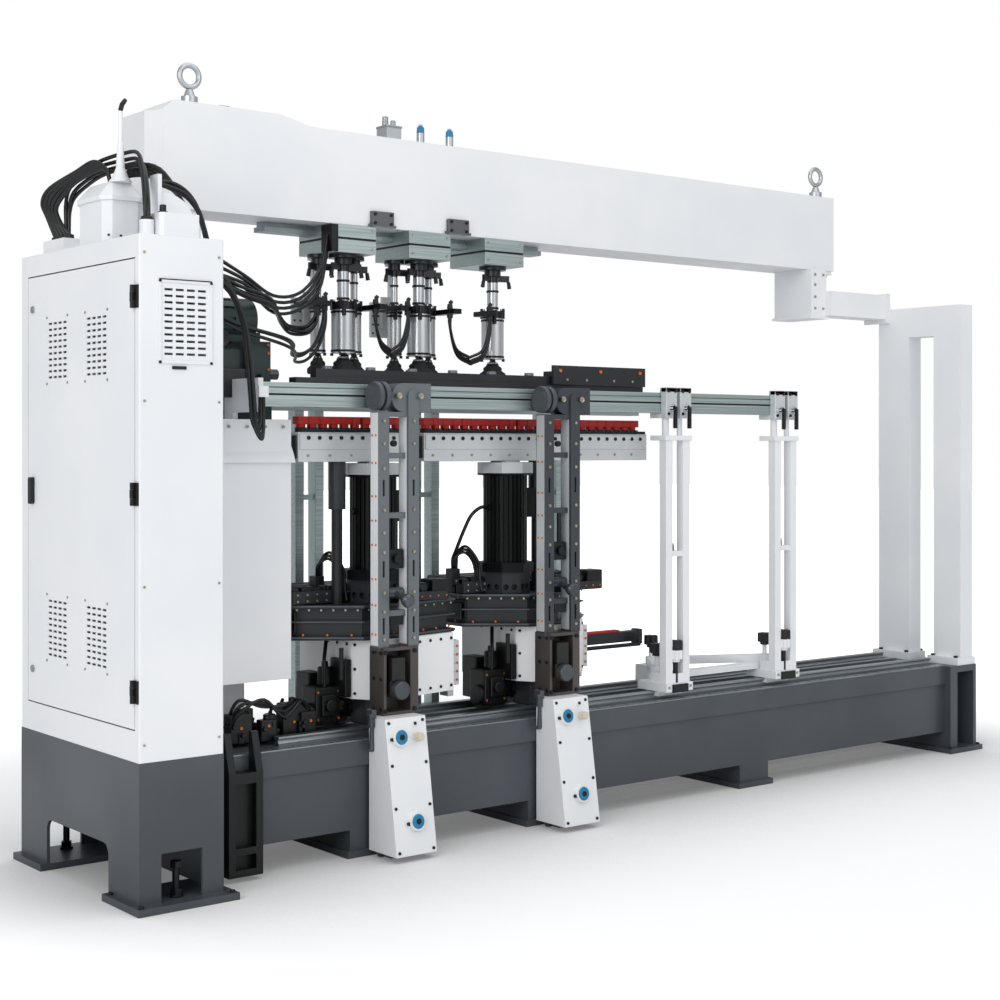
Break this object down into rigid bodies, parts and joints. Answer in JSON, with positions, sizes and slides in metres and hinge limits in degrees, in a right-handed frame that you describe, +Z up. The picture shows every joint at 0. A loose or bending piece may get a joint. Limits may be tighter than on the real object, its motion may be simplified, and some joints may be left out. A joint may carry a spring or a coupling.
{
  "type": "line boring machine",
  "caption": "Multi-row line boring machine with boring heads under a front rail, pneumatic hold-downs on a cantilever beam, a control cabinet and a portal.",
  "frame": {"origin": "middle of the floor rectangle that the machine covers, on the floor", "axes": "+X along the machine from the control cabinet to the portal, +Y from the operator's side to the back, +Z up"},
  "size_m": [3.122, 0.671, 1.966],
  "materials": {
    "white_paint": "smooth semi-gloss powder coat",
    "slate_paint": "semi-gloss paint",
    "grey_paint": "satin metallic paint",
    "dark_paint": "satin paint",
    "casting": "satin silver grey paint",
    "rail_aluminium": "anodised, satin",
    "bright_steel": "ground",
    "polished_steel": "polished",
    "black_steel": "black oxide and paint, satin",
    "motor_black": "satin enamel on a finned casting",
    "tool_red": "gloss lacquer",
    "black_plastic": "fine grain",
    "foot_rubber": "moulded, matt",
    "hose_black": "satin hose jacket"
  },
  "bodies": {
    "frame": {"pedestal": "slate_paint", "levelling_bolts": "black_steel", "cabinet_shell": "white_paint", "door_hinges": "black_steel", "cable_cover": "white_paint", "main_beam": "white_paint", "beam_fittings": "bright_steel", "bed_frame": "slate_paint", "bed_rails": "bright_steel", "chain_bracket": "slate_paint", "portal_frame": "white_paint", "beam_arm": "white_paint", "front_rail": "rail_aluminium", "rear_rail": "rail_aluminium", "side_fence": "slate_paint", "side_housing": "white_paint", "cabinet_hoses": "hose_black", "feed_hoses": "hose_black", "press_hoses": "hose_black", "side_hose": "hose_black"},
    "door": {"cabinet_door": "white_paint"},
    "handle": {"door_handle": "black_plastic"},
    "side_unit": {"side_unit": "dark_paint"},
    "side_drill": {"side_spindle": "tool_red"},
    "carriage_1": {"carriage_1": "white_paint", "swivel_base_1": "dark_paint", "tower_1": "grey_paint", "console_1": "white_paint"},
    "wheels_1": {"clamp_wheels_1": "black_plastic"},
    "lever_1": {"tower_lever_1": "grey_paint"},
    "head_1": {"gearbox_1": "casting", "motor_1": "motor_black", "chucks_1": "tool_red"},
    "drill_1": {"spindle_1": "tool_red"},
    "carriage_2": {"carriage_2": "white_paint", "swivel_base_2": "dark_paint", "tower_2": "grey_paint", "console_2": "white_paint", "motor_cable": "hose_black"},
    "wheels_2": {"clamp_wheels_2": "black_plastic"},
    "lever_2": {"tower_lever_2": "grey_paint"},
    "head_2": {"gearbox_2": "casting", "motor_2": "motor_black", "chucks_2": "tool_red"},
    "drill_2": {"spindle_2": "tool_red"},
    "press_a": {"press_block_a": "rail_aluminium", "press_cylinders_a": "polished_steel"},
    "foot_a1": {"press_foot_a1": "foot_rubber"},
    "foot_a2": {"press_foot_a2": "foot_rubber"},
    "foot_a3": {"press_foot_a3": "foot_rubber"},
    "press_b": {"press_block_b": "rail_aluminium", "press_cylinders_b": "polished_steel"},
    "foot_b1": {"press_foot_b1": "foot_rubber"},
    "foot_b2": {"press_foot_b2": "foot_rubber"},
    "foot_b3": {"press_foot_b3": "foot_rubber"},
    "press_c": {"press_block_c": "rail_aluminium", "press_cylinders_c": "polished_steel"},
    "foot_c1": {"press_foot_c1": "foot_rubber"},
    "posts": {"support_posts": "white_paint", "link_arms": "bright_steel"}
  },
  "joints": [
    {"name": "door_swing", "type": "hinge", "parent": "frame", "child": "door", "pos_m": [-1.551, -0.284, 0.9], "axis": [0, 0, 1], "range_deg": [0, 110]},
    {"name": "handle_turn", "type": "hinge", "parent": "door", "child": "handle", "pos_m": [-1.545, 0.2535, 0.897], "axis": [1, 0, 0], "range_deg": [-90, 0]},
    {"name": "side_unit_feed", "type": "slide", "parent": "frame", "child": "side_unit", "axis": [1, 0, 0], "range_m": [-0.02, 0.02]},
    {"name": "side_drill_spin", "type": "hinge", "parent": "side_unit", "child": "side_drill", "pos_m": [-1.1, -0.0055, 1.18], "axis": [1, 0, 0], "continuous": true},
    {"name": "carriage_1_travel", "type": "slide", "parent": "frame", "child": "carriage_1", "axis": [1, 0, 0], "range_m": [-0.015, 0.015]},
    {"name": "wheels_1_turn", "type": "hinge", "parent": "carriage_1", "child": "wheels_1", "pos_m": [-0.785, -0.1728, 1.127], "axis": [1, 0, 0], "continuous": true},
    {"name": "lever_1_tilt", "type": "hinge", "parent": "carriage_1", "child": "lever_1", "pos_m": [-0.785, -0.1675, 0.64], "axis": [1, 0, 0], "range_deg": [-60, 30]},
    {"name": "head_1_lift", "type": "slide", "parent": "carriage_1", "child": "head_1", "axis": [0, 0, 1], "range_m": [0, 0.06]},
    {"name": "drill_1_spin", "type": "hinge", "parent": "head_1", "child": "drill_1", "pos_m": [-0.802, -0.0155, 1.05], "axis": [0, 0, 1], "continuous": true},
    {"name": "carriage_2_travel", "type": "slide", "parent": "frame", "child": "carriage_2", "axis": [1, 0, 0], "range_m": [-0.02, 0.1]},
    {"name": "wheels_2_turn", "type": "hinge", "parent": "carriage_2", "child": "wheels_2", "pos_m": [-0.253, -0.1728, 1.127], "axis": [1, 0, 0], "continuous": true},
    {"name": "lever_2_tilt", "type": "hinge", "parent": "carriage_2", "child": "lever_2", "pos_m": [-0.253, -0.1675, 0.64], "axis": [1, 0, 0], "range_deg": [-60, 30]},
    {"name": "head_2_lift", "type": "slide", "parent": "carriage_2", "child": "head_2", "axis": [0, 0, 1], "range_m": [0, 0.06]},
    {"name": "drill_2_spin", "type": "hinge", "parent": "head_2", "child": "drill_2", "pos_m": [-0.292, -0.0155, 1.05], "axis": [0, 0, 1], "continuous": true},
    {"name": "press_a_shift", "type": "slide", "parent": "frame", "child": "press_a", "axis": [1, 0, 0], "range_m": [-0.06, 0.02]},
    {"name": "foot_a1_stroke", "type": "slide", "parent": "press_a", "child": "foot_a1", "axis": [0, 0, 1], "range_m": [-0.04, 0.005]},
    {"name": "foot_a2_stroke", "type": "slide", "parent": "press_a", "child": "foot_a2", "axis": [0, 0, 1], "range_m": [-0.04, 0.005]},
    {"name": "foot_a3_stroke", "type": "slide", "parent": "press_a", "child": "foot_a3", "axis": [0, 0, 1], "range_m": [-0.04, 0.005]},
    {"name": "press_b_shift", "type": "slide", "parent": "frame", "child": "press_b", "axis": [1, 0, 0], "range_m": [-0.02, 0.05]},
    {"name": "foot_b1_stroke", "type": "slide", "parent": "press_b", "child": "foot_b1", "axis": [0, 0, 1], "range_m": [-0.04, 0.005]},
    {"name": "foot_b2_stroke", "type": "slide", "parent": "press_b", "child": "foot_b2", "axis": [0, 0, 1], "range_m": [-0.04, 0.005]},
    {"name": "foot_b3_stroke", "type": "slide", "parent": "press_b", "child": "foot_b3", "axis": [0, 0, 1], "range_m": [-0.04, 0.005]},
    {"name": "press_c_shift", "type": "slide", "parent": "frame", "child": "press_c", "axis": [1, 0, 0], "range_m": [-0.04, 0.1]},
    {"name": "foot_c1_stroke", "type": "slide", "parent": "press_c", "child": "foot_c1", "axis": [0, 0, 1], "range_m": [-0.04, 0.005]},
    {"name": "posts_shift", "type": "slide", "parent": "frame", "child": "posts", "axis": [1, 0, 0], "range_m": [-0.04, 0.01]}
  ]
}
